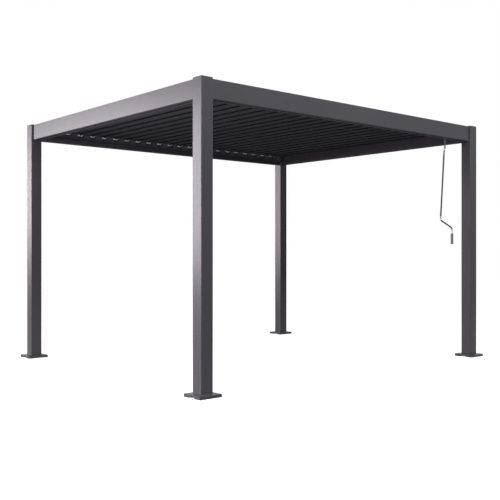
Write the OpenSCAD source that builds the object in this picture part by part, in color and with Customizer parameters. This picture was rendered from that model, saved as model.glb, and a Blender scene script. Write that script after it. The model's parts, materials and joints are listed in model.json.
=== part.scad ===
// Louvred-roof aluminium pergola: four posts, four gutter beams, a roof of tilting
// louvres and a crank that hangs from its gearbox. Millimetres, +Z up, with the
// origin on the floor at the middle of the plan. +X runs along the long side.

/* [Frame] */
// Length over the posts, along X
frame_len = 3600; // [2800:10:4800]
// Depth over the posts, along Y
frame_dep = 3000; // [2000:10:4200]
// Height to the top of the post caps
frame_h = 2400; // [2100:10:2800]
// Width of the square posts
post_w = 110; // [102:1:140]
// Wall of the post tubes
post_wall = 2.5; // [1.5:0.1:4]
// Outer corner radius of the post tubes and caps
post_r = 4; // [3:0.5:10]
// Thickness of the post caps
cap_t = 7; // [4:0.5:15]
// Depth of the cap's plug inside the post
cap_plug = 18; // [8:1:40]

/* [Feet] */
// Width of the square base plates
plate_w = 180; // [160:1:190]
// Thickness of the base plates
plate_t = 8; // [5:0.5:12]
// Spacing of the anchor holes, both ways
anchor_pitch = 138; // [132:1:150]
// Radius of the anchor holes
anchor_r = 6; // [4:0.5:7]
// Width of the square foot covers
cover_w = 206; // [196:1:240]
// Height of the foot covers at the post
cover_h = 32; // [28:1:60]
// Fall of the foot covers' sloping top
cover_fall = 7; // [2:0.5:12]
// Wall of the foot covers
cover_wall = 2; // [1:0.1:4]
// Width of the arch in the foot covers' side edges
arch_w = 72; // [30:1:120]
// Height of that arch
arch_h = 15; // [5:0.5:18]

/* [Beams and gutters] */
// Height of the beams
beam_h = 150; // [130:1:220]
// Thickness of the beams' hollow box
beam_t = 30; // [20:1:45]
// Set-back of the beams' outer faces from the posts' outer faces
beam_set = 15; // [0:1:25]
// Wall of the beams and the gutters
beam_wall = 2; // [1.5:0.1:3]
// Height of the gutters' flange on the beam
flange_h = 30; // [15:1:40]
// Height of the gutters' inner lip
lip_h = 40; // [20:1:46]
// Width of the drain windows from the gutters into the posts
drain_w = 34; // [15:1:45]
// Height of those drain windows
drain_h = 26; // [15:1:40]
// Width of the water outlets at the posts' feet
outlet_w = 44; // [20:1:70]
// Height of those outlets
outlet_h = 14; // [8:1:25]

/* [Louvres] */
// Height of the louvre pivots above the bottom of the beams
pivot_rise = 124; // [98:1:125]
// Distance from the pivot to the louvre's short edge
pivot_in = 48; // [42:1:54]
// Height of the louvre's top skin above the pivot
blade_up = 11; // [9:0.5:14]
// Depth of the louvre's bottom skin below the pivot
blade_down = 13; // [10:0.5:16]
// Wall of the louvre extrusion
blade_wall = 1.4; // [1:0.1:2]
// Overlap of each louvre's lip on the next louvre
lip_over = 8; // [5:0.5:12]
// Thickness of that lip
blade_lip_t = 3; // [2:0.5:4]
// Open gap between neighbouring louvre bodies
blade_gap = 30; // [8:0.5:40]
// Width of the rain channel along the short edge
channel_w = 16; // [12:0.5:20]
// Depth of that channel's floor below the pivot
channel_drop = 4; // [2:0.5:5]
// Height of the channel's outer rim above the pivot
channel_rim = 1; // [0:0.5:2]
// Depth of the drip ridge under the louvre
drip_h = 4; // [2:0.5:6]
// Reach of the louvre ends over the gutters
end_over = 14; // [6:1:30]
// Space between the gutter lips and the first and last louvre
side_gap = 15; // [10:1:30]

/* [Pivots and link] */
// Radius of the louvre pivot pins
pin_r = 5; // [3.5:0.5:6]
// Running clearance round pins and shafts
run_clear = 0.05; // [0.02:0.01:0.1]
// Width of the pivot brackets
bracket_w = 62; // [26:1:80]
// Thickness of the brackets' plates
bracket_t = 3; // [2:0.5:5]
// Reach of the brackets below the pivot
bracket_down = 40; // [20:1:45]
// Distance from a louvre's pivot to its link pin
link_arm = 30; // [28:0.5:33]
// Radius of the link pins
link_r = 4; // [3:0.5:5]
// Height of the link bar
bar_h = 16; // [14:0.5:20]
// Thickness of the link bar
bar_t = 4; // [3:0.5:6]

/* [Drive] */
// Number of the louvre that the gearbox turns
drive_louvre = 21; // [2:1:22]
// Depth of the gearbox off the beam
gearbox_d = 19; // [17:1:30]
// Distance from the driven pivot to the crank shaft
worm_off = 34; // [30:1:50]
// Radius of the crank shaft
worm_r = 5; // [4:0.5:6]
// Drop of the crank's eye below the beam
eye_drop = 88; // [60:1:140]
// Mean radius of the eye's ring
eye_r = 9; // [8:0.5:14]
// Radius of the eye's and the hook's wire
wire_r = 3; // [2.5:0.25:3.5]

/* [Crank] */
// Heading of the crank's arm from +X
crank_heading = -20; // [-60:1:60]
// Lean of the hanging rod
crank_lean = 3.5; // [0:0.1:8]
// Length from the hook to the bottom of the rod
rod_len = 705; // [400:1:1200]
// Radius of the rod
rod_r = 6; // [5:0.5:8]
// Length of the ferrule under the rod
ferrule_len = 38; // [20:1:60]
// Sideways offset of the grip from the rod
arm_out = 137; // [90:1:200]
// Drop of the arm over that offset
arm_drop = 78; // [50:1:150]
// Radius of the arm's steel bar
arm_r = 4; // [3:0.5:5]
// Radius of the arm's bends
arm_bend = 24; // [12:1:40]
// Length of the bare neck above the grip
neck_len = 56; // [45:1:100]
// Length of the grip
grip_len = 108; // [80:1:160]
// Radius of the grip
grip_r = 14; // [10:0.5:18]
// Radius of the rings cut round the grip
groove_r = 1.5; // [0.5:0.25:3]

/* [Hidden] */
$fn = 48;
louvre_count = 23;
groove_count = 6;
moving_clear = 6;
seat_clear = 0.3;
cut = 1;
coat = [0.33, 0.33, 0.35];
dark = [0.2, 0.2, 0.21];
zinc = [0.75, 0.76, 0.78];
grey = [0.55, 0.55, 0.56];

half_x = frame_len / 2;
half_y = frame_dep / 2;
post_x = half_x - post_w / 2;
post_y = half_y - post_w / 2;
post_top = frame_h - cap_t;
beam_bottom = post_top - beam_h;

// Louvre ends, link bar and gearbox share the width of the gutter.
lever_t = 4;
pin_past = 2;
bar_gap = moving_clear;
end_space = lever_t + bar_gap + bar_t + pin_past + moving_clear + gearbox_d;
gutter_w = end_space + end_over;
beam_back = beam_set + beam_t;
gutter_reach = beam_back + gutter_w;
wall_x = half_x - beam_back;
wall_y = half_y - beam_back;
blade_end = wall_y - end_space;
lever_face = blade_end + lever_t;
bar_near = lever_face + bar_gap;
bar_far = bar_near + bar_t;

field_x = half_x - gutter_reach - side_gap;
pitch = (2 * field_x - lip_over) / louvre_count;
pivot_z = beam_bottom + pivot_rise;
body_right = pitch - blade_gap - pivot_in;
tip_right = pitch + lip_over - pivot_in;
pin_end = wall_y - moving_clear;
link_angle = -135;
worm_x = pivot_x(drive_louvre) + worm_off;
worm_y = -wall_y + gearbox_d / 2;
eye_z = beam_bottom - eye_drop;
hook_z = eye_z - eye_r + 2 * wire_r + seat_clear;

function pivot_x(i) = -field_x + pivot_in + (i - 1) * pitch;
function louvre_name(i) = str("louvre_", i < 10 ? "0" : "", i);

// A square with rounded corners, centred on the origin.
module round_square(width, r) {
    square([width, width - 2 * r], center = true);
    square([width - 2 * r, width], center = true);
    for (sx = [-1, 1], sy = [-1, 1])
        translate([sx, sy] * (width / 2 - r)) circle(r);
}

module at_posts() {
    for (sx = [-1, 1], sy = [-1, 1])
        translate([sx * post_x, sy * post_y, 0]) children();
}

// A square tube that stands on its base plate. Windows in its two inner faces take the
// water from the gutters, and outlets at its foot let it out under the cover.
module post(sx, sy) {
    drain_in = beam_back + gutter_w / 2 - post_w / 2;
    drain_z = beam_bottom + beam_wall + drain_h / 2;
    window_depth = 4 * post_wall;
    color(coat)
        translate([sx * post_x, sy * post_y, 0])
            difference() {
                translate([0, 0, plate_t])
                    linear_extrude(post_top - plate_t)
                        difference() {
                            round_square(post_w, post_r);
                            square(post_w - 2 * post_wall, center = true);
                        }
                translate([-sx * post_w / 2, -sy * drain_in, drain_z])
                    cube([window_depth, drain_w, drain_h], center = true);
                translate([-sx * drain_in, -sy * post_w / 2, drain_z])
                    cube([drain_w, window_depth, drain_h], center = true);
                translate([0, 0, plate_t])
                    cube([post_w + 2 * cut, outlet_w, 2 * outlet_h], center = true);
            }
}

module base_plates() {
    color(zinc)
        at_posts()
            difference() {
                translate([0, 0, plate_t / 2]) cube([plate_w, plate_w, plate_t], center = true);
                for (sx = [-1, 1], sy = [-1, 1])
                    translate([sx, sy, 0] * anchor_pitch / 2)
                        translate([0, 0, -cut]) cylinder(r = anchor_r, h = plate_t + 2 * cut);
            }
}

// Upright sides under a top that slopes up to the post, drawn as a side view.
module cover_side(width, height) {
    polygon([
        [-width / 2, 0], [width / 2, 0], [width / 2, height - cover_fall],
        [post_w / 2, height], [-post_w / 2, height], [-width / 2, height - cover_fall],
    ]);
}

module cover_form(width, height) {
    intersection() {
        rotate([90, 0, 0]) linear_extrude(width, center = true) cover_side(width, height);
        rotate([90, 0, 90]) linear_extrude(width, center = true) cover_side(width, height);
    }
}

module foot_covers() {
    arch_r = (arch_w * arch_w / 4 + arch_h * arch_h) / (2 * arch_h);
    hole_w = post_w + 2 * seat_clear;
    color(coat)
        at_posts()
            difference() {
                cover_form(cover_w, cover_h);
                translate([0, 0, -cover_wall]) cover_form(cover_w - 2 * cover_wall, cover_h);
                translate([0, 0, cover_h / 2]) cube([hole_w, hole_w, 2 * cover_h], center = true);
                translate([0, 0, arch_h - arch_r])
                    rotate([0, 90, 0]) cylinder(r = arch_r, h = 2 * cover_w, center = true);
            }
}

// A flat cap with a hollow plug that drops into the post.
module post_caps() {
    plug_w = post_w - 2 * post_wall - 2 * seat_clear;
    color(coat)
        at_posts()
            translate([0, 0, post_top]) {
                linear_extrude(cap_t) round_square(post_w, post_r);
                translate([0, 0, -cap_plug])
                    linear_extrude(cap_plug + cap_t / 2)
                        difference() {
                            square(plug_w, center = true);
                            square(plug_w - 4 * post_wall, center = true);
                        }
            }
}

// Length over the posts, reach from the middle and turn of each side of the roof.
front_side = [frame_len, half_y, 0];
back_side = [frame_len, half_y, 180];
left_side = [frame_dep, half_x, 270];
right_side = [frame_dep, half_x, 90];

// Runs a section along one side between its posts; the section's x points inwards
// from the posts' outer faces.
module run_along(side) {
    rotate([0, 0, side[2]])
        translate([0, -side[1], beam_bottom])
            rotate([90, 0, 90])
                linear_extrude(side[0] - 2 * post_w, center = true) children();
}

// A hollow box beam, set back a little from the posts' outer faces.
module beam(side) {
    color(coat)
        run_along(side)
            translate([beam_set, 0])
                difference() {
                    square([beam_t, beam_h]);
                    translate([beam_wall, beam_wall])
                        square([beam_t - 2 * beam_wall, beam_h - 2 * beam_wall]);
                }
}

// Channels along the inner foot of the beams: a flange on the beam, a floor and a lip.
module gutters() {
    color(coat)
        difference() {
            for (side = [front_side, back_side, left_side, right_side])
                run_along(side)
                    translate([beam_back, 0]) {
                        square([gutter_w, beam_wall]);
                        square([beam_wall, flange_h]);
                        translate([gutter_w - beam_wall, 0]) square([beam_wall, lip_h]);
                    }
            translate([worm_x, worm_y, beam_bottom - cut])
                cylinder(r = snout_r + seat_clear, h = flange_h + 2 * cut);
        }
}

boss_wall = 5;
plate_over = 5;

// A plate on the beam's inner wall with a bored boss for the pivot pin.
module pivot_bracket() {
    boss_r = pin_r + boss_wall;
    boss_len = gearbox_d;
    plate_up = boss_r + plate_over;
    difference() {
        union() {
            translate([-bracket_w / 2, -bracket_t, -bracket_down])
                cube([bracket_w, bracket_t, bracket_down + plate_up]);
            rotate([90, 0, 0]) cylinder(r = boss_r, h = boss_len);
        }
        translate([0, cut, 0])
            rotate([90, 0, 0]) cylinder(r = pin_r + run_clear, h = boss_len + 2 * cut);
    }
}

module front_pivot_brackets() {
    color(zinc)
        for (i = [1 : louvre_count])
            if (i != drive_louvre)
                translate([pivot_x(i), -wall_y, pivot_z]) rotate([0, 0, 180]) pivot_bracket();
}

module back_pivot_brackets() {
    color(zinc)
        for (i = [1 : louvre_count])
            translate([pivot_x(i), wall_y, pivot_z]) pivot_bracket();
}

// Closing strips over the two side gutters: one above the first louvre's rim,
// one below the last louvre's lip.
module end_strips() {
    strip_t = beam_wall;
    strip_len = frame_dep - 2 * post_w;
    strip_w = wall_x - field_x + lip_over;
    edge_h = 15;
    over_z = pivot_z + channel_rim + moving_clear;
    under_z = pivot_z + blade_up - blade_lip_t - moving_clear - strip_t;
    color(coat) {
        translate([-wall_x, -strip_len / 2, over_z]) {
            cube([strip_w, strip_len, strip_t]);
            cube([strip_t, strip_len, edge_h]);
        }
        translate([wall_x - strip_w, -strip_len / 2, under_z]) {
            cube([strip_w, strip_len, strip_t]);
            translate([strip_w - strip_t, 0, strip_t - edge_h])
                cube([strip_t, strip_len, edge_h]);
        }
    }
}

// Louvre section round its pivot: a flat hollow box, a rain channel along the
// short edge, a lip over the next louvre and a drip ridge below.
channel_slope = 0.25;
edge_chamfer = 4;
rim_t = 2;
drip_t = 3;

function channel_right(z) = -pivot_in + channel_w + (z + channel_drop) * channel_slope;

module blade_outline() {
    polygon([
        [-pivot_in, edge_chamfer - blade_down], [edge_chamfer - pivot_in, -blade_down],
        [body_right - drip_t, -blade_down], [body_right - drip_t, -blade_down - drip_h],
        [body_right, -blade_down - drip_h], [body_right, blade_up - blade_lip_t],
        [tip_right, blade_up - blade_lip_t], [tip_right, blade_up],
        [channel_right(blade_up), blade_up], [channel_right(-channel_drop), -channel_drop],
        [rim_t - pivot_in, -channel_drop], [rim_t - pivot_in, channel_rim],
        [-pivot_in, channel_rim],
    ]);
}

module blade_cavity() {
    left = blade_wall - pivot_in;
    right = body_right - blade_wall;
    low = blade_wall - blade_down;
    high = blade_up - blade_wall;
    shelf = -channel_drop - blade_wall;
    polygon([
        [left, low + edge_chamfer / 2], [left + edge_chamfer / 2, low], [right, low], [right, high],
        [channel_right(high) + blade_wall, high], [channel_right(shelf) + blade_wall, shelf],
        [left, shelf],
    ]);
}

module along_y(from, to) {
    translate([0, to, 0]) rotate([90, 0, 0]) linear_extrude(to - from) children();
}

// Slots in the end caps that let water out of the louvre.
module weep_slots() {
    weep_w = 12;
    weep_h = 3;
    weep_z = 2 * blade_wall - blade_down;
    for (share = [0.25, 0.75])
        translate([share * body_right - weep_w / 2, -frame_dep / 2, weep_z])
            cube([weep_w, frame_dep, weep_h]);
}

lever_wall = 4;

module louvre(i) {
    cap_depth = 3;
    sink = 1;
    lever_r = link_r + lever_wall;
    lever_waist = 2 * link_r + lever_wall;
    link_x = link_arm * cos(link_angle);
    link_z = link_arm * sin(link_angle);
    color(dark)
        translate([pivot_x(i), 0, pivot_z]) {
            difference() {
                along_y(-blade_end, blade_end) blade_outline();
                along_y(-blade_end + cap_depth, blade_end - cap_depth) blade_cavity();
                weep_slots();
            }
            along_y(-lever_face, -blade_end + sink) {
                circle(lever_r);
                translate([link_x, link_z]) circle(lever_r);
                rotate(link_angle) translate([0, -lever_waist / 2]) square([link_arm, lever_waist]);
            }
            along_y(-pin_end, -lever_face + sink) circle(pin_r);
            along_y(blade_end - sink, pin_end) circle(pin_r);
            translate([link_x, 0, link_z])
                along_y(-bar_far - pin_past, -lever_face + sink) circle(link_r);
        }
}

// One flat bar that ties every louvre's lever together.
module link_bar() {
    link_x = link_arm * cos(link_angle);
    link_z = link_arm * sin(link_angle);
    end_past = bar_h / 2 + lever_wall;
    color(dark)
        translate([link_x, 0, pivot_z + link_z])
            along_y(-bar_far, -bar_near)
                difference() {
                    translate([pivot_x(1) - end_past, -bar_h / 2])
                        square([pivot_x(louvre_count) - pivot_x(1) + 2 * end_past, bar_h]);
                    for (i = [1 : louvre_count])
                        translate([pivot_x(i), 0]) circle(link_r + run_clear);
                }
}

snout_wall = 3;
snout_r = worm_r + snout_wall;
snout_past = 5;
gear_r = 22;
gear_up = 24;
gear_down = 40;
box_wall = 6;
box_top = 3;

// Worm box on the beam's inner wall; its snout brings the shaft down through the gutter.
module gearbox() {
    bore_back = 3;
    side = snout_r + box_wall;
    shaft_room = pivot_rise + gear_up + snout_past - box_top;
    color(dark)
        difference() {
            union() {
                translate([pivot_x(drive_louvre), 0, pivot_z])
                    along_y(-wall_y, -wall_y + gearbox_d) {
                        circle(gear_r);
                        translate([0, -gear_down]) square([worm_off + side, gear_down + gear_up]);
                    }
                translate([worm_x, worm_y, beam_bottom - snout_past])
                    cylinder(r = snout_r, h = pivot_rise + snout_past);
            }
            translate([pivot_x(drive_louvre), 0, pivot_z])
                along_y(-wall_y + bore_back, -wall_y + gearbox_d + cut) circle(pin_r + run_clear);
            translate([worm_x, worm_y, beam_bottom - snout_past - cut])
                cylinder(r = worm_r + run_clear, h = shaft_room + cut);
        }
}

// The crank shaft with a ring below it; the ring's hole faces across the crank's heading.
module crank_eye() {
    shaft_gap = 2;
    shaft_top = pivot_z + gear_up - box_top - shaft_gap;
    ring_top = eye_z + eye_r;
    color(zinc)
        translate([worm_x, worm_y, 0]) {
            translate([0, 0, ring_top]) cylinder(r = worm_r, h = shaft_top - ring_top);
            translate([0, 0, eye_z])
                rotate([90, 0, crank_heading])
                    rotate_extrude() translate([eye_r, 0]) circle(wire_r);
        }
}

module at_hook() {
    translate([worm_x, worm_y, hook_z]) rotate([0, 0, crank_heading]) children();
}

// A quarter bend of round bar from +X at the origin round to +Y.
module quarter_bend(bend_r, bar_r) {
    rotate_extrude(angle = 90) translate([bend_r, 0]) circle(bar_r);
}

hook_half = 3;
hook_bend = 6;
hook_leg = hook_half + hook_bend;
hook_shank = 50;

// Rod with a wire hook at the top, hooked over the ring's lower edge.
module crank_rod() {
    tip_drop = 20;
    color(coat)
        at_hook()
            rotate([0, crank_lean, 0]) {
                rotate([90, 0, 0]) cylinder(r = wire_r, h = 2 * hook_half, center = true);
                for (side = [0, 180])
                    rotate([0, 0, side])
                        translate([0, hook_half, -hook_bend])
                            rotate([90, 0, 90]) quarter_bend(hook_bend, wire_r);
                translate([0, -hook_leg, -tip_drop]) {
                    cylinder(r = wire_r, h = tip_drop - hook_bend);
                    sphere(wire_r);
                }
                translate([0, hook_leg, -hook_shank - wire_r])
                    cylinder(r = wire_r, h = hook_shank + wire_r - hook_bend);
                translate([0, hook_leg, -rod_len]) cylinder(r = rod_r, h = rod_len - hook_shank);
            }
}

arm_fall = atan2(arm_drop, arm_out);
sleeve_wall = 1;
ferrule_r = rod_r + sleeve_wall;
crank_drop = rod_len + ferrule_len;

// Everything below the ferrule hangs from the middle of its round end.
module at_ferrule_end() {
    at_hook()
        translate([-crank_drop * sin(crank_lean), hook_leg, -crank_drop * cos(crank_lean)]) children();
}

// Socket under the rod; the arm's end sits in a hole in its round bottom.
module crank_ferrule() {
    ferrule_end = 3;
    color(zinc)
        at_ferrule_end()
            difference() {
                rotate([0, crank_lean, 0])
                    rotate_extrude() {
                        translate([0, -ferrule_end]) square([ferrule_r - ferrule_end, ferrule_len + ferrule_end]);
                        square([ferrule_r, ferrule_len]);
                        translate([ferrule_r - ferrule_end, 0]) circle(ferrule_end);
                    }
                rotate([0, 90 + arm_fall, 0]) cylinder(r = arm_r + run_clear, h = 2 * ferrule_r);
            }
}

// Steel bar from the ferrule out to the grip; a collar and the neck's sleeve hold its bend.
module crank_arm() {
    sleeve_r = arm_r + sleeve_wall;
    sleeve_in = 3;
    turn = 90 - arm_fall;
    tangent = arm_bend * tan(turn / 2);
    run = norm([arm_out, arm_drop]) - tangent;
    color(dark)
        at_ferrule_end() {
            rotate([0, arm_fall, 0]) {
                translate([seat_clear, 0, 0])
                    rotate([0, 90, 0]) cylinder(r = arm_r, h = run - sleeve_in);
                translate([run - 2 * sleeve_in, 0, 0])
                    rotate([0, 90, 0]) cylinder(r = sleeve_r, h = 3 * sleeve_in);
                translate([run, 0, -arm_bend])
                    rotate([90, -arm_fall, 0])
                        rotate_extrude(angle = turn) translate([arm_bend, 0]) circle(arm_r);
            }
            translate([arm_out, 0, -arm_drop - neck_len])
                cylinder(r = sleeve_r, h = neck_len - tangent + sleeve_in);
        }
}

// Turned grip with rounded ends and rings cut round it, revolved round the neck's end.
module crank_grip() {
    round_r = 4;
    color(grey)
        at_ferrule_end()
            translate([arm_out, 0, -arm_drop - neck_len])
                rotate_extrude()
                    difference() {
                        union() {
                            translate([0, -grip_len]) square([grip_r - round_r, grip_len]);
                            translate([0, round_r - grip_len]) square([grip_r, grip_len - 2 * round_r]);
                            for (z = [-round_r, round_r - grip_len])
                                translate([grip_r - round_r, z]) circle(round_r);
                        }
                        for (k = [1 : groove_count])
                            translate([grip_r, -k * grip_len / (groove_count + 1)]) circle(groove_r);
                    }
}

post(-1, -1);  // front_left_post
post(1, -1);  // front_right_post
post(-1, 1);  // back_left_post
post(1, 1);  // back_right_post
base_plates();
foot_covers();
post_caps();
beam(front_side);  // front_beam
beam(back_side);  // back_beam
beam(left_side);  // left_beam
beam(right_side);  // right_beam
gutters();
front_pivot_brackets();
back_pivot_brackets();
end_strips();
for (i = [1 : louvre_count])
    louvre(i);
link_bar();
gearbox();
crank_eye();
crank_rod();
crank_ferrule();
crank_arm();
crank_grip();
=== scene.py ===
# %% [markdown]
# A louvred-roof pergola. Four square posts carry four box beams, and twenty-three louvres turn
# between two of the beams. A crank hangs from its gearbox at one end of the front beam.
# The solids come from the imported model, so they are loaded first and are never moved.
# This lesson gives them their finishes, adds the small fittings, and sets the light.

# %% Load the frame
import json
import math

import bmesh
import bpy
from mathutils import Matrix, Vector


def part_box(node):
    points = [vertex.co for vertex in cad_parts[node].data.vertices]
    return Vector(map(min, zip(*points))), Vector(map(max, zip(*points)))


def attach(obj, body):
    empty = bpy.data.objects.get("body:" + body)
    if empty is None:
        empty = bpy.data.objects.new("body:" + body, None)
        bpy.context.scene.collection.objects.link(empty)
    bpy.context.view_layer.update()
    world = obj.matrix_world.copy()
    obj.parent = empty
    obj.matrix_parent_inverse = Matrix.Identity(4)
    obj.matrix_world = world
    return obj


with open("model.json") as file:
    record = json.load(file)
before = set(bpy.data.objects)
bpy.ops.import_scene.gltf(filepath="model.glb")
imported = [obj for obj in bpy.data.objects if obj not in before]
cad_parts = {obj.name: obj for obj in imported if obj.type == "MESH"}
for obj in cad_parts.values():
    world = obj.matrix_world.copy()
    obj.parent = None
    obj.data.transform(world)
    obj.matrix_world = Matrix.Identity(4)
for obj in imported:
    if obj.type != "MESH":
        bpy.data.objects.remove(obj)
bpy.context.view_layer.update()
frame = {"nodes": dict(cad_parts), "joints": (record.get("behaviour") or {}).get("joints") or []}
nodes = frame["nodes"]
joint_place = {joint["name"]: Vector(joint["pos_m"]) for joint in frame["joints"]}
MM = 0.001

# %% [markdown]
# The camera stands well back from the front left corner, at chest height, and looks level.
# A level camera keeps the posts upright in the picture. The horizon lies a little under the
# middle row, and a small upward shift puts it there without tilting anything.

# %% Camera
CAMERA_PLACE = Vector((-5.226, -6.044, 1.090))
CAMERA_HEADING = Vector((0.6514, 0.7587, 0.0))
LENS_MM = 55.18
SENSOR_MM = 36.0
PICTURE_ROWS = 500
HORIZON_ROW = 251.8

camera_data = bpy.data.cameras.new("camera")
camera_data.lens = LENS_MM
camera_data.sensor_width = SENSOR_MM
camera_data.shift_y = (HORIZON_ROW - PICTURE_ROWS / 2) / PICTURE_ROWS
camera = bpy.data.objects.new("camera", camera_data)
camera.location = CAMERA_PLACE
camera.rotation_euler = CAMERA_HEADING.to_track_quat("-Z", "Y").to_euler()
bpy.context.scene.collection.objects.link(camera)
bpy.context.scene.camera = camera
print("camera heading", round(math.degrees(math.atan2(CAMERA_HEADING.x, CAMERA_HEADING.y)), 1), "degrees")

# %% [markdown]
# Colours are written as sRGB hex, as a paint chart gives them, and shaders want linear values.
# One function converts them. A second adds a node, sets it and links it, so that each
# material below reads as a list of what its surface does.

# %% Helpers for materials


def linear(code):
    """Linear RGBA of an sRGB hex colour."""
    channels = [int(code[start : start + 2], 16) / 255 for start in (0, 2, 4)]
    return [c / 12.92 if c <= 0.04045 else ((c + 0.055) / 1.055) ** 2.4 for c in channels] + [1.0]


def add_node(tree, kind, settings=None, links=None):
    """Add a shader node, set its sockets or properties, and link its inputs."""
    node = tree.nodes.new("ShaderNode" + kind)
    for name, value in (settings or {}).items():
        if name in node.inputs:
            node.inputs[name].default_value = value
        else:
            setattr(node, name, value)
    for socket, source in (links or {}).items():
        tree.links.new(source, node.inputs[socket])
    return node


def new_material(name, sockets):
    """A material with a Principled shader that takes these plain numbers."""
    material = bpy.data.materials.new(name)
    material.use_nodes = True
    shader = material.node_tree.nodes["Principled BSDF"]
    for socket, value in sockets.items():
        shader.inputs[socket].default_value = value
    return material, material.node_tree, shader


def repeats(size_mm):
    """Texture scale at which one cell of a pattern is this many millimetres wide."""
    return 1000.0 / size_mm


def two_tones(ramp, low, high, dark, light):
    """Set a colour ramp to run from the dark tone at low to the light one at high."""
    ramp.color_ramp.elements[0].position = low
    ramp.color_ramp.elements[1].position = high
    ramp.color_ramp.elements[0].color = linear(dark)
    ramp.color_ramp.elements[1].color = linear(light)


# %% [markdown]
# Powder coat is a dry paint that is sprayed on as charged powder and baked until it flows.
# It leaves a satin skin with a faint orange peel. Anthracite coats for garden frames carry
# mica flakes, so the colour sparkles slightly close up. The peel is about a millimetre across
# and the flakes far less: both are drawn several times coarser, or the picture would lose them.

# %% Powder coats
PEEL_MM = 5
FLAKE_MM = 3
DRIFT_MM = 700
FLAKE_SHARE = 0.35


def powder_coat(name, dark, light, sockets):
    """Baked coat: slow drift of tone, mica flakes and orange peel."""
    material, tree, shader = new_material(name, sockets)
    place = add_node(tree, "TexCoord").outputs["Object"]
    drift = add_node(tree, "TexNoise", {"Scale": repeats(DRIFT_MM), "Detail": 2.0}, {"Vector": place})
    flake = add_node(tree, "TexVoronoi", {"Scale": repeats(FLAKE_MM)}, {"Vector": place})
    spark = add_node(tree, "SeparateColor", links={"Color": flake.outputs["Color"]})
    shade = add_node(
        tree,
        "Mix",
        {"Factor": FLAKE_SHARE},
        {"A": drift.outputs["Fac"], "B": spark.outputs["Red"]},
    )
    tone = add_node(tree, "ValToRGB", links={"Fac": shade.outputs["Result"]})
    two_tones(tone, 0.25, 0.75, dark, light)
    tree.links.new(tone.outputs["Color"], shader.inputs["Base Color"])
    peel = add_node(tree, "TexNoise", {"Scale": repeats(PEEL_MM), "Detail": 1.0}, {"Vector": place})
    bump = add_node(
        tree,
        "Bump",
        {"Strength": 0.25, "Distance": 0.1 * MM},
        {"Height": peel.outputs["Fac"]},
    )
    tree.links.new(bump.outputs["Normal"], shader.inputs["Normal"])
    print("made", material.name)
    return material


satin_coat = powder_coat("anthracite_satin_coat", "55545A", "5F5E64", {"Specular IOR Level": 0.17})
matt_coat = powder_coat(
    "anthracite_matt_coat", "55555A", "5E5E63", {"Roughness": 0.75, "Specular IOR Level": 0.012}
)
crank_coat = powder_coat(
    "dark_grey_crank_coat", "242427", "2C2C2F", {"Roughness": 0.5, "Specular IOR Level": 0.1}
)
shaft_coat = powder_coat(
    "grey_shaft_coat", "7C7C80", "88888C", {"Roughness": 0.5, "Specular IOR Level": 0.2}
)
housing_coat = powder_coat(
    "black_housing_coat", "252527", "2E2E30", {"Roughness": 0.5, "Specular IOR Level": 0.3}
)

# %% [markdown]
# The long profiles hang in the spray booth, so the powder falls on their upright and upper
# faces and only drifts to the undersides. It lies thin and dry there and bakes to a rougher
# skin. The way that a surface faces is enough to tell the two apart.

# %% Dry undersides
SATIN = 0.22
DRY = 0.9


def dry_underneath(material):
    """Satin all round, and rough where the surface looks down."""
    tree = material.node_tree
    facing_way = add_node(tree, "NewGeometry").outputs["Normal"]
    upward = add_node(tree, "SeparateXYZ", links={"Vector": facing_way}).outputs["Z"]
    rough = add_node(
        tree,
        "MapRange",
        {"From Min": -0.9, "From Max": -0.5, "To Min": DRY, "To Max": SATIN},
        {"Value": upward},
    )
    tree.links.new(rough.outputs["Result"], tree.nodes["Principled BSDF"].inputs["Roughness"])


dry_underneath(satin_coat)
print(f"{satin_coat.name}: roughness {SATIN}, underneath {DRY}")

# %% [markdown]
# Plated and galvanised steel is bare metal to the eye. Bright zinc plate on small pressings is
# smooth with faint clouding. Hot-dip galvanising on the base plates grows crystals, the spangle,
# about a centimetre across, and each crystal has its own shade and roughness. The link bar is
# aluminium as the mill drew it, with fine lines along its length. The screws are stainless steel,
# which is the brightest of the four.

# %% Metals
CLOUD_MM = 25
SPANGLE_MM = 9
MILL_MM = 2
EVEN = (1.0, 1.0, 1.0)
DRAWN_ALONG_X = (0.02, 1.0, 1.0)


def bare_metal(name, pattern, output, size_mm, dark, light, roughness, stretch):
    """Metal whose tone and roughness follow one pattern, drawn out along an axis."""
    material, tree, shader = new_material(name, {"Metallic": 1.0})
    place = add_node(tree, "TexCoord").outputs["Object"]
    drawn = add_node(tree, "Mapping", {"Scale": stretch}, {"Vector": place})
    cells = add_node(tree, pattern, {"Scale": repeats(size_mm)}, {"Vector": drawn.outputs["Vector"]})
    grey = add_node(tree, "RGBToBW", links={"Color": cells.outputs[output]})
    tone = add_node(tree, "ValToRGB", links={"Fac": grey.outputs["Val"]})
    two_tones(tone, 0.2, 0.8, dark, light)
    rough = add_node(
        tree,
        "MapRange",
        {"To Min": roughness[0], "To Max": roughness[1]},
        {"Value": grey.outputs["Val"]},
    )
    tree.links.new(tone.outputs["Color"], shader.inputs["Base Color"])
    tree.links.new(rough.outputs["Result"], shader.inputs["Roughness"])
    print("made", material.name)
    return material


zinc_plate = bare_metal(
    "bright_zinc_plate", "TexNoise", "Fac", CLOUD_MM, "86888C", "9EA0A4", (0.25, 0.42), EVEN
)
galvanised = bare_metal(
    "hot_dip_galvanised", "TexVoronoi", "Color", SPANGLE_MM, "83868A", "A9ACB0", (0.35, 0.6), EVEN
)
mill_bar = bare_metal(
    "mill_finish_aluminium", "TexNoise", "Fac", MILL_MM, "8E9093", "A6A8AB", (0.3, 0.5), DRAWN_ALONG_X
)
stainless = bare_metal(
    "stainless_steel", "TexNoise", "Fac", CLOUD_MM, "C9CACC", "DEDFE1", (0.2, 0.32), EVEN
)

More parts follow.
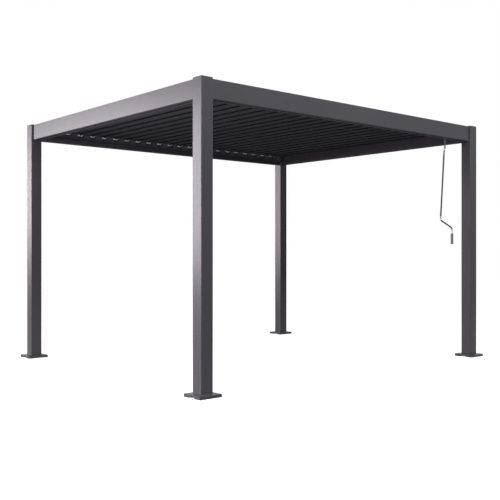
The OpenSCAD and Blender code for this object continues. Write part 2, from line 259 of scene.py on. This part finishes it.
# %% [markdown]
# Plastics finish the list. The crank's grip is moulded nylon, grey and satin, with the slight
# mottle of a moulded surface. The bearing bushes are black nylon, the clips under them are
# natural acetal, which is milky white, and the seals and drip strips are extruded EPDM rubber,
# black and dull. The same black rubber is also painted shade: strips of it are laid where the
# roof's gaps and the joints beside the beams lie in shade. Soft vinyl covers the crank's arm and
# the shank of its hook. One function makes them all, since only their numbers differ.

# %% Plastics
MOTTLE_MM = 6


def moulded(name, dark, light, sockets, bump_mm):
    """Moulded or extruded plastic with a soft mottle that also lifts the surface."""
    material, tree, shader = new_material(name, sockets)
    place = add_node(tree, "TexCoord").outputs["Object"]
    mottle = add_node(tree, "TexNoise", {"Scale": repeats(MOTTLE_MM), "Detail": 3.0}, {"Vector": place})
    tone = add_node(tree, "ValToRGB", links={"Fac": mottle.outputs["Fac"]})
    two_tones(tone, 0.3, 0.7, dark, light)
    tree.links.new(tone.outputs["Color"], shader.inputs["Base Color"])
    bump = add_node(
        tree,
        "Bump",
        {"Strength": 0.3, "Distance": bump_mm * MM},
        {"Height": mottle.outputs["Fac"]},
    )
    tree.links.new(bump.outputs["Normal"], shader.inputs["Normal"])
    print("made", material.name)
    return material


grip_nylon = moulded("moulded_grey_nylon", "8A8A8C", "9E9EA0", {"Roughness": 0.5}, 0.1)
bush_nylon = moulded("black_bearing_nylon", "202021", "29292A", {"Roughness": 0.45}, 0.05)
sleeve_vinyl = moulded(
    "black_soft_vinyl", "101011", "171718", {"Roughness": 0.7, "Specular IOR Level": 0.1}, 0.05
)
clip_acetal = moulded("natural_acetal", "EEEEEC", "F8F8F6", {"Roughness": 0.35}, 0.05)
# Black rubber for the seals, also laid as painted shade in the louvres' gaps and beside the beams.
seal_and_painted_shade_rubber = moulded(
    "black_rubber_seals_and_painted_shade", "161617", "1D1D1E", {"Roughness": 0.8, "Specular IOR Level": 0.03}, 0.1
)

# %% [markdown]
# Each solid now takes its finish. The edges of extrusions and castings are never quite sharp,
# and the thin line of light along them is what tells the eye that they are metal. A weld joins
# the corner points that each face of the solid has for itself, and a narrow bevel then rounds
# the edge. Both are modifiers, so the solid itself stays as it is.

# %% Finish the solids
LOUVRES = sorted(name for name in nodes if name.startswith("louvre_"))
POSTS = [name for name in nodes if name.endswith("_post")]
BEAMS = [name for name in nodes if name.endswith("_beam")]
BRACKETS = [name for name in nodes if name.endswith("_brackets")]
EDGE_ANGLE = math.radians(35)


def finish(names, material, edge_mm):
    """Give these solids a finish and round their edges."""
    for name in names:
        solid = nodes[name]
        solid.data.materials.clear()
        solid.data.materials.append(material)
        weld = solid.modifiers.new("weld", "WELD")
        weld.merge_threshold = 0.01 * MM
        edge = solid.modifiers.new("edge", "BEVEL")
        edge.width = edge_mm * MM
        edge.segments = 2
        edge.limit_method = "ANGLE"
        edge.angle_limit = EDGE_ANGLE
        edge.harden_normals = True
    print(f"{len(names)} solids in {material.name}")


finish(POSTS + BEAMS + ["post_caps", "foot_covers"], satin_coat, 1.2)
finish(["gutters", "end_strips"], satin_coat, 0.4)
finish(LOUVRES, matt_coat, 0.3)
finish(BRACKETS, housing_coat, 0.5)
finish(["base_plates"], galvanised, 0.8)
finish(["link_bar"], mill_bar, 0.4)
finish(["gearbox"], housing_coat, 1.0)
finish(["crank_eye"], shaft_coat, 0.3)
finish(["crank_rod"], crank_coat, 0.3)
finish(["crank_ferrule"], zinc_plate, 0.3)
finish(["crank_arm"], housing_coat, 0.3)
finish(["crank_grip"], grip_nylon, 0.3)

# %% [markdown]
# The small fittings are built as meshes. Turned things, such as screw heads and bushes, are a
# profile spun about an axis. Extruded and bent things are an outline drawn out along a line.
# Many of one kind are joined into one mesh, which rides on the body that carries them.

# %% Helpers for meshes
SIDES = 16
FINE_SIDES = 24
PIN_SIDES = 12


def in_metres(points):
    """The points of a profile or an outline that is given in millimetres."""
    return [(first * MM, second * MM) for first, second in points]


def turns(sides):
    """Angles of the corners of a round thing with this many sides."""
    return [2 * math.pi * step / sides for step in range(sides)]


def skin(mesh, rings, sides):
    """Lay faces from each ring of points to the next; a ring of one point is a tip."""
    for lower, upper in zip(rings, rings[1:]):
        for step in range(sides):
            corners = [lower[step % len(lower)], lower[(step + 1) % len(lower)]]
            corners += [upper[(step + 1) % len(upper)], upper[step % len(upper)]]
            unique = list(dict.fromkeys(corners))
            if len(unique) > 2:
                mesh.faces.new(unique)


def lathe(mesh, profile, place, sides=SIDES):
    """Spin a profile of (radius, height) points in metres about the local Z axis of place."""
    rings = []
    for radius, height in profile:
        angles = turns(sides) if radius > 0 else [0.0]
        points = [Vector((radius * math.cos(a), radius * math.sin(a), height)) for a in angles]
        rings.append([mesh.verts.new(place @ point) for point in points])
    skin(mesh, rings, sides)


def prism(mesh, outline, start, stop, place):
    """Draw an outline of (x, z) points out along the local Y axis of place."""
    ends = [[mesh.verts.new(place @ Vector((x, y, z))) for x, z in outline] for y in (start, stop)]
    for k in range(len(outline)):
        mesh.faces.new([ends[0][k - 1], ends[0][k], ends[1][k], ends[1][k - 1]])
    mesh.faces.new(ends[0][::-1])
    mesh.faces.new(ends[1])


def facing(point, axis):
    """A frame at a point whose Z axis looks along axis."""
    return Matrix.Translation(point) @ Vector(axis).to_track_quat("Z", "Y").to_matrix().to_4x4()


def make_piece(name, build, material, body):
    """Build a mesh piece, finish it and let it ride on a body."""
    mesh = bmesh.new()
    build(mesh)
    bmesh.ops.remove_doubles(mesh, verts=mesh.verts, dist=0.001 * MM)
    bmesh.ops.recalc_face_normals(mesh, faces=mesh.faces)
    data = bpy.data.meshes.new(name)
    mesh.to_mesh(data)
    mesh.free()
    data.shade_smooth()
    data.set_sharp_from_angle(angle=EDGE_ANGLE)
    data.materials.append(material)
    piece = bpy.data.objects.new(name, data)
    bpy.context.scene.collection.objects.link(piece)
    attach(piece, body)
    print(f"{name}: {len(data.polygons)} faces on {body}")


# %% [markdown]
# Every louvre turns in a bracket at each end. Under the pin's boss a milky clip, moulded as a
# V, sits on the bracket's plate, and a short tab beside it reaches past the plate's edge. They are
# the row of light marks that shows along the back beam. The foot of the V is rounded, since a
# sharp one would crack, so its path has an arc there, and the path is thickened into an outline.

# %% Bearing clips and lock tabs
WALL_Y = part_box("back_beam")[0].y
PLATE_T = 3 * MM
CLIP_FOOT = Vector((-5 * MM, -26 * MM))
CLIP_BEND = 5 * MM
CLIP_BEND_STEPS = 6
CLIP_SHORT_ARM = 8 * MM
CLIP_LONG_ARM = 24 * MM
CLIP_LEAN = math.radians(42)
CLIP_DEPTH = 9 * MM
CLIP_T = 8 * MM
TAB_PATH = in_metres([(-43, -20.5), (-21, -18.5)])
TAB_T = 13 * MM
PIVOTS = {name: joint_place[f"{name}_tilt"] for name in LOUVRES}
DRIVEN = "louvre_21"


def clip_path():
    """Down one arm of the V, round its foot and up the other."""
    step_turn = (math.pi - 2 * CLIP_LEAN) / CLIP_BEND_STEPS
    angles = [CLIP_LEAN + step_turn * step for step in range(CLIP_BEND_STEPS + 1)]
    foot = [
        (CLIP_FOOT.x - CLIP_BEND * math.cos(a), CLIP_FOOT.y + CLIP_BEND * (1 - math.sin(a))) for a in angles
    ]
    across, up = math.sin(CLIP_LEAN), math.cos(CLIP_LEAN)
    first = (foot[0][0] - CLIP_SHORT_ARM * across, foot[0][1] + CLIP_SHORT_ARM * up)
    last = (foot[-1][0] + CLIP_LONG_ARM * across, foot[-1][1] + CLIP_LONG_ARM * up)
    return [first] + foot + [last]


def ribbon(path, thickness):
    """Outline of a strip of this thickness along a path of (x, z) points."""
    points = [Vector(point) for point in path]
    one_side, other_side = [], []
    for index, point in enumerate(points):
        along = points[min(index + 1, len(points) - 1)] - points[max(index - 1, 0)]
        across = Vector((-along.y, along.x)).normalized() * thickness / 2
        one_side.append(point + across)
        other_side.append(point - across)
    return one_side + other_side[::-1]


def bracket_places():
    """A frame on each bracket's plate, with Y off the wall and Z up."""
    for name, pivot in PIVOTS.items():
        yield Matrix.Translation((pivot.x, WALL_Y - PLATE_T, pivot.z)) @ Matrix.Diagonal((1, -1, 1, 1))
        if name != DRIVEN:
            yield Matrix.Translation((pivot.x, PLATE_T - WALL_Y, pivot.z))


def build_clips(mesh):
    clip = ribbon(clip_path(), CLIP_T)
    tab = ribbon(TAB_PATH, TAB_T)
    for place in bracket_places():
        prism(mesh, clip, 0, CLIP_DEPTH, place)
        prism(mesh, tab, 0, CLIP_DEPTH, place)


make_piece("bearing_clips", build_clips, clip_acetal, "frame")

# %% [markdown]
# Each boss is lined with a black nylon bush, so that the pin never runs on bare metal. Only the
# bush's flange shows, a flat ring round the pin at the mouth of the boss. It is a closed
# profile spun about the pin.

# %% Bearing bushes
BOSS_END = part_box("back_pivot_brackets")[0].y
BUSH_RING = [(5.1, 0.0), (5.1, 1.5), (11.0, 1.5), (12.0, 0.8), (12.0, 0.0), (5.1, 0.0)]


def build_bushes(mesh):
    for pivot in PIVOTS.values():
        for end in (-1, 1):
            mouth = facing((pivot.x, end * BOSS_END, pivot.z), (0, -end, 0))
            lathe(mesh, in_metres(BUSH_RING), mouth, FINE_SIDES)


make_piece("bearing_bushes", build_bushes, bush_nylon, "frame")

# %% [markdown]
# Black rubber closes the joint between two louvres: a bulb under the lip meets the next louvre.
# An edge trim sits on the drip ridge and a flat strip covers the short edge. These two are painted
# shade, black sheets on faces that lie in the shade of the gap, and seen from below all three
# make the dark lines of the roof. All three run the length of the louvre and turn with it, so each
# louvre carries its own.

# %% Louvre seals and painted shade
LIP_BULB_TOP = [(-7.5, 8), (-1.5, 8), (-1.5, 7)]
LIP_BULB = LIP_BULB_TOP + [(-3.4, 6.6), (-3.6, 4.4), (-5.4, 4.4), (-5.6, 6.6), (-7.5, 7)]
# The drip trim and the edge strip are painted shade: black sheets on faces that lie in the shade of the
# gap.
PAINTED_SHADE_TRIM_OUTSIDE = [(-4.2, -13), (-4.2, -17.6), (-3.6, -18.2), (0.6, -18.2), (1.2, -17.6), (1.2, -6)]
PAINTED_SHADE_DRIP_TRIM = PAINTED_SHADE_TRIM_OUTSIDE + [(0, -6), (0, -17), (-3, -17), (-3, -13)]
PAINTED_SHADE_EDGE_STRIP = [(0, 0), (-1.5, 0), (-1.5, -9.6), (3.4, -14.5), (9, -14.5), (9, -13), (4, -13), (0, -9)]
LIP_AND_GAP = 38 * MM
SEAL_HALF = 1408 * MM


def build_seals_and_painted_shade(mesh, low, high, height):
    """Seal and painted-shade strips of one louvre between its short edge at low and the tip of its lip at
    high.
    """
    for outline, across in ((LIP_BULB, high), (PAINTED_SHADE_DRIP_TRIM, high - LIP_AND_GAP), (PAINTED_SHADE_EDGE_STRIP, low)):
        place = Matrix.Translation((across, 0, height))
        prism(mesh, in_metres(outline), -SEAL_HALF, SEAL_HALF, place)


for name, pivot in PIVOTS.items():
    low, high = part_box(name)
    make_piece(
        name.replace("louvre", "seals_and_painted_shade"),
        lambda mesh: build_seals_and_painted_shade(mesh, low.x, high.x, pivot.z),
        seal_and_painted_shade_rubber,
        name,
    )

# %% [markdown]
# The louvres' end caps are held by two screws each. A pan head is a low dome with a recess for
# the driver. At this size a round recess says as much as a cross would, and it can be spun in
# the same profile as the head.

# %% End cap screws
PAN_HEAD = [(0.0, 1.0), (0.35, 1.0), (0.42, 1.9), (0.7, 1.7), (0.95, 1.1), (1.0, 0.5), (1.0, 0.0)]
CAP_SCREW_R = 3.4 * MM
CAP_SCREWS = in_metres([(20, 3), (54, 3)])
BLADE_END = 1414 * MM


def pan_head(mesh, radius, point, axis):
    """A screw head that stands on a face at point and looks along axis."""
    lathe(mesh, [(share * radius, height * MM) for share, height in PAN_HEAD], facing(point, axis))


def build_cap_screws(mesh, pivot):
    for across, up in CAP_SCREWS:
        for end in (-1, 1):
            pan_head(mesh, CAP_SCREW_R, (pivot.x + across, end * BLADE_END, pivot.z + up), (0, end, 0))


for name, pivot in PIVOTS.items():
    make_piece(
        name.replace("louvre", "cap_screws"),
        lambda mesh: build_cap_screws(mesh, pivot),
        stainless,
        name,
    )

# %% [markdown]
# Behind the front beam, the link bar is kept on its pins by push-on washers, and the gearbox is
# closed by screws at its corners. The gutters' flanges are screwed to the beams every 40 cm.
# All of these hide from the front and show through the open louvres.

# %% Link washers, gearbox screws and gutter screws
LINK_WASHER = [(4.15, 0.0), (4.15, 1.2), (7.0, 1.2), (7.4, 0.8), (7.4, 0.0), (4.15, 0.0)]
LINK_TO_PIVOT = joint_place["link_bar_pivot"] - PIVOTS["louvre_12"]
BOX_SCREWS = in_metres([(40, 17), (40, -33), (7, -33), (-14, 6)])
BOX_SCREW_R = 4.2 * MM
FLANGE_FACE = 2 * MM
FLANGE_SCREW_R = 5 * MM
FLANGE_SCREW_UP = 20 * MM
FLANGE_STEP = 400 * MM
LONG_SIDE_STEPS = range(-4, 5)
SHORT_SIDE_STEPS = range(-3, 4)
WALL_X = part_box("right_beam")[0].x
BEAM_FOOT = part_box("back_beam")[0].z


def build_washers(mesh):
    outer_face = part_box("link_bar")[0].y
    for pivot in PIVOTS.values():
        pin = pivot + LINK_TO_PIVOT
        lathe(mesh, in_metres(LINK_WASHER), facing((pin.x, outer_face, pin.z), (0, -1, 0)), FINE_SIDES)


def build_box_screws(mesh):
    pivot = PIVOTS[DRIVEN]
    for across, up in BOX_SCREWS:
        pan_head(mesh, BOX_SCREW_R, (pivot.x + across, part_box("gearbox")[1].y, pivot.z + up), (0, 1, 0))


def build_flange_screws(mesh):
    height = BEAM_FOOT + FLANGE_SCREW_UP
    for side in (-1, 1):
        for step in LONG_SIDE_STEPS:
            along_x = (step * FLANGE_STEP, side * (WALL_Y - FLANGE_FACE), height)
            pan_head(mesh, FLANGE_SCREW_R, along_x, (0, -side, 0))
        for step in SHORT_SIDE_STEPS:
            along_y = (side * (WALL_X - FLANGE_FACE), step * FLANGE_STEP, height)
            pan_head(mesh, FLANGE_SCREW_R, along_y, (-side, 0, 0))


make_piece("link_washers", build_washers, stainless, "link_bar")
make_piece("gearbox_screws", build_box_screws, stainless, "frame")
make_piece("flange_screws", build_flange_screws, stainless, "frame")

# %% [markdown]
# A black rubber strip runs under each gutter. It is painted shade: seen from the room it is the
# first dark line beside the beam, where the joint lies in shade. As a drip strip, stray water falls
# from it before it can creep along the metal to the beam. The front one stops on either side of
# the crank's shaft.

# %% Drip strips as painted shade
# Painted shade: a black strip laid where the joint beside each beam lies in shade.
PAINTED_SHADE_DRIP_STRIP = [(6, 0), (6, -1), (7.5, -1.8), (21.5, -1.8), (23, -1), (23, 0)]
SHAFT_ROOM = 30 * MM
END_ROOM = 2 * MM


def build_painted_shade_drip_strips(mesh):
    """Painted-shade strips under the gutters, each with its X axis looking in from the beam's inner wall.
    """
    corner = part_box("front_left_post")[1]
    half_x = -corner.x - END_ROOM
    half_y = -corner.y - END_ROOM
    shaft = joint_place["crank_turn"].x
    runs = [
        ((-WALL_X, 0), 0, -half_y, half_y),
        ((WALL_X, 0), math.pi, -half_y, half_y),
        ((0, WALL_Y), -math.pi / 2, -half_x, half_x),
        ((0, -WALL_Y), math.pi / 2, -half_x, -shaft - SHAFT_ROOM),
        ((0, -WALL_Y), math.pi / 2, SHAFT_ROOM - shaft, half_x),
    ]
    for (x, y), turn, start, stop in runs:
        place = Matrix.Translation((x, y, BEAM_FOOT)) @ Matrix.Rotation(turn, 4, "Z")
        prism(mesh, in_metres(PAINTED_SHADE_DRIP_STRIP), start, stop, place)


make_piece("painted_shade_drip_strips", build_painted_shade_drip_strips, seal_and_painted_shade_rubber, "frame")

# %% [markdown]
# The crank has a bright steel tube round its neck, above the grip, and a dark plug in the grip's
# end. Both sit on the grip's own axis, so their place is read from the grip's box. A roll pin
# holds the hook's shank in the top of the rod.

# %% Crank fittings
NECK_TUBE = [(5.1, 0.0), (6.0, 0.0), (6.0, 40.0), (5.6, 40.8), (5.1, 40.8), (5.1, 0.0)]
GRIP_PLUG = [(9.0, 0.0), (8.6, 1.2), (6.5, 1.8), (2.0, 1.8), (1.6, 0.9), (0.0, 0.9)]
ROLL_PIN = [(0.0, 7.2), (1.3, 7.2), (1.6, 6.9), (1.6, -6.9), (1.3, -7.2), (0.0, -7.2)]
CRANK_HEADING = math.radians(-20)
CRANK_LEAN = math.radians(3.5)
SHANK_OFFSET = 9 * MM
PIN_DROP = 62 * MM
grip_low, grip_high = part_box("crank_grip")
grip_middle = (grip_low + grip_high) / 2


def build_neck(mesh):
    top = Matrix.Translation((grip_middle.x, grip_middle.y, grip_high.z))
    lathe(mesh, in_metres(NECK_TUBE), top, FINE_SIDES)


def build_plug(mesh):
    end = facing((grip_middle.x, grip_middle.y, grip_low.z), (0, 0, -1))
    lathe(mesh, in_metres(GRIP_PLUG), end, FINE_SIDES)


def on_rod(drop):
    """A frame on the rod's axis, this far below the hook."""
    hook = Matrix.Translation(joint_place["crank_swing"]) @ Matrix.Rotation(CRANK_HEADING, 4, "Z")
    return hook @ Matrix.Rotation(CRANK_LEAN, 4, "Y") @ Matrix.Translation((0, SHANK_OFFSET, -drop))


def build_pin(mesh):
    across_rod = on_rod(PIN_DROP) @ Matrix.Rotation(math.pi / 2, 4, "Y")
    lathe(mesh, in_metres(ROLL_PIN), across_rod, PIN_SIDES)


make_piece("neck_tube", build_neck, zinc_plate, "crank")
make_piece("grip_plug", build_plug, bush_nylon, "crank")
make_piece("roll_pin", build_pin, stainless, "crank")

# %% [markdown]
# Three sleeves make the crank kinder to the hand. A boot covers the hook's shank, a loose nylon
# tube on the rod turns under the upper hand, and a black sheath runs along the bent arm. The
# sheath follows the arm's own line: straight out and down, then a bend to the grip.

# %% Crank sleeves
ROD_TOP = 50 * MM
SLEEVE_FOOT = 704 * MM
BOOT_OUTSIDE = [(6.05, -8), (7.2, -8), (7.2, 0), (6.4, 6), (4.6, 24), (3.1, 25)]
HOOK_BOOT = BOOT_OUTSIDE + [(3.1, 0), (6.05, 0), (6.05, -8)]
ROD_SLEEVE = [(6.1, 0), (7.6, 0), (8.0, 1), (8.0, 631), (7.6, 632), (6.1, 632), (6.1, 0)]
CRANK_DROP = 743 * MM
ARM_OUT = 137 * MM
ARM_DROP = 78 * MM
ARM_BEND = 24 * MM
ARM_BEND_STEPS = 8
ARM_START = 9 * MM
SHEATH_R = 7.2 * MM


def arm_line():
    """Points along the arm in its own upright plane, from the ferrule to the end of the bend."""
    fall = math.atan2(ARM_DROP, ARM_OUT)
    turn = math.pi / 2 - fall
    tangent = ARM_BEND * math.tan(turn / 2)
    centre = Vector((ARM_OUT - ARM_BEND, 0, -ARM_DROP - tangent))
    start = Vector((math.cos(fall), 0, -math.sin(fall))) * ARM_START
    angles = [turn * (1 - step / ARM_BEND_STEPS) for step in range(ARM_BEND_STEPS + 1)]
    return [start] + [centre + Vector((math.cos(a), 0, math.sin(a))) * ARM_BEND for a in angles]


def build_boot(mesh):
    lathe(mesh, in_metres(HOOK_BOOT), on_rod(ROD_TOP))


def build_sleeve(mesh):
    lathe(mesh, in_metres(ROD_SLEEVE), on_rod(SLEEVE_FOOT), FINE_SIDES)


def build_sheath(mesh):
    """A round skin along the arm's line, closed at both ends."""
    place = Matrix.Translation(on_rod(CRANK_DROP).translation) @ Matrix.Rotation(CRANK_HEADING, 4, "Z")
    line = arm_line()
    across = Vector((0, SHEATH_R, 0))
    rings = [[mesh.verts.new(place @ line[0])]]
    for index, point in enumerate(line):
        along = line[min(index + 1, len(line) - 1)] - line[max(index - 1, 0)]
        side = Vector((-along.z, 0, along.x)).normalized() * SHEATH_R
        ring = [point + side * math.cos(a) + across * math.sin(a) for a in turns(SIDES)]
        rings.append([mesh.verts.new(place @ corner) for corner in ring])
    rings.append([mesh.verts.new(place @ line[-1])])
    skin(mesh, rings, SIDES)


make_piece("hook_boot", build_boot, sleeve_vinyl, "crank")
make_piece("rod_sleeve", build_sleeve, bush_nylon, "crank")
make_piece("arm_sheath", build_sheath, sleeve_vinyl, "crank")

# %% [markdown]
# The floor and the sky. The background is white, as in a catalogue, but a white floor would
# throw light up under the roof. So the floor and the sky are white only to the camera and to
# reflections, and are grey to the light that they pass on.

# %% Floor and sky
FLOOR_HALF = 40.0
FLOOR_GRID = 8
FLOOR_GLOW = 0.96
SKY_FILL = 0.06


def seen_directly(tree):
    """1 for rays from the camera, a reflection or glass, and 0 for all others."""
    path = add_node(tree, "LightPath")
    first = add_node(
        tree,
        "Math",
        {"operation": "MAXIMUM"},
        {0: path.outputs["Is Camera Ray"], 1: path.outputs["Is Glossy Ray"]},
    )
    second = add_node(
        tree,
        "Math",
        {"operation": "MAXIMUM"},
        {0: first.outputs["Value"], 1: path.outputs["Is Transmission Ray"]},
    )
    return second.outputs["Value"]


def studio_floor():
    """Pale paper floor: white to the eye, greyer to the light that it passes on."""
    material = bpy.data.materials.new("white_paper_floor")
    material.use_nodes = True
    tree = material.node_tree
    tree.nodes.clear()
    dull = add_node(tree, "BsdfDiffuse", {"Color": linear("525252")})
    paper = add_node(tree, "BsdfDiffuse", {"Color": linear("E6E6E6")})
    glow = add_node(tree, "Emission", {"Color": linear("FFFFFF"), "Strength": FLOOR_GLOW})
    pale = add_node(tree, "AddShader", links={0: paper.outputs[0], 1: glow.outputs[0]})
    both = add_node(
        tree, "MixShader", links={0: seen_directly(tree), 1: dull.outputs[0], 2: pale.outputs[0]}
    )
    add_node(tree, "OutputMaterial", links={"Surface": both.outputs[0]})
    mesh = bmesh.new()
    bmesh.ops.create_grid(mesh, x_segments=FLOOR_GRID, y_segments=FLOOR_GRID, size=FLOOR_HALF)
    data = bpy.data.meshes.new("floor")
    mesh.to_mesh(data)
    mesh.free()
    data.materials.append(material)
    floor = bpy.data.objects.new("floor", data)
    bpy.context.scene.collection.objects.link(floor)


def studio_sky():
    """White sky to the eye and in reflections, a soft grey fill for everything else."""
    world = bpy.data.worlds.new("studio_sky")
    bpy.context.scene.world = world
    world.use_nodes = True
    tree = world.node_tree
    tree.nodes.clear()
    soft = add_node(tree, "Background", {"Color": linear("FFFFFF"), "Strength": SKY_FILL})
    white = add_node(tree, "Background", {"Color": linear("FFFFFF"), "Strength": 1.0})
    both = add_node(
        tree, "MixShader", links={0: seen_directly(tree), 1: soft.outputs[0], 2: white.outputs[0]}
    )
    add_node(tree, "OutputWorld", links={"Surface": both.outputs[0]})


studio_floor()
studio_sky()
print("floor and sky are in place")

# %% [markdown]
# Five soft lamps. A wide one far off to the left is what the left faces mirror: their satin
# sheen is brightest where the mirror line meets it and fades towards the floor. A smaller one
# near the left side fills those faces and the roof's near corner. One in front lifts the top
# of the front faces, and a weak one overhead keeps the louvres' tops from going black. The
# last is a narrow strip under the near louvres, which get more light than the far ones.

# %% Lamps


def soft_panel(name, place, target, size, watts, tint):
    """An oval lamp at place that looks at target and doesn't show itself."""
    data = bpy.data.lights.new(name, "AREA")
    data.shape = "ELLIPSE"
    data.size = size[0]
    data.size_y = size[1]
    data.energy = watts
    data.color = linear(tint)[:3]
    lamp = bpy.data.objects.new(name, data)
    lamp.location = place
    lamp.rotation_euler = (Vector(target) - Vector(place)).to_track_quat("-Z", "Y").to_euler()
    lamp.visible_camera = False
    bpy.context.scene.collection.objects.link(lamp)
    print(f"{name}: {watts} W from {place}")


soft_panel("left_panel", (-28.25, 36.41, 4.9), (-1.8, 0.0, 1.2), (21.6, 12.6), 9200, "FFF6FA")
soft_panel("side_panel", (-4.2, -1.2, 1.7), (-1.8, -1.2, 1.7), (1.0, 2.0), 70, "FFF6FA")
soft_panel("front_panel", (-0.8, -5.2, 4.6), (-0.8, -1.5, 1.6), (5.0, 1.2), 150, "FFFFFF")
soft_panel("top_panel", (0.0, 0.0, 7.0), (0.0, 0.0, 0.0), (6.0, 5.0), 120, "FFFFFF")
soft_panel("roof_wash", (-1.6, -0.1, 1.6), (-1.6, -0.1, 2.3), (0.2, 2.3), 1.9, "FFFFFF")
bpy.context.scene.view_settings.view_transform = "Standard"
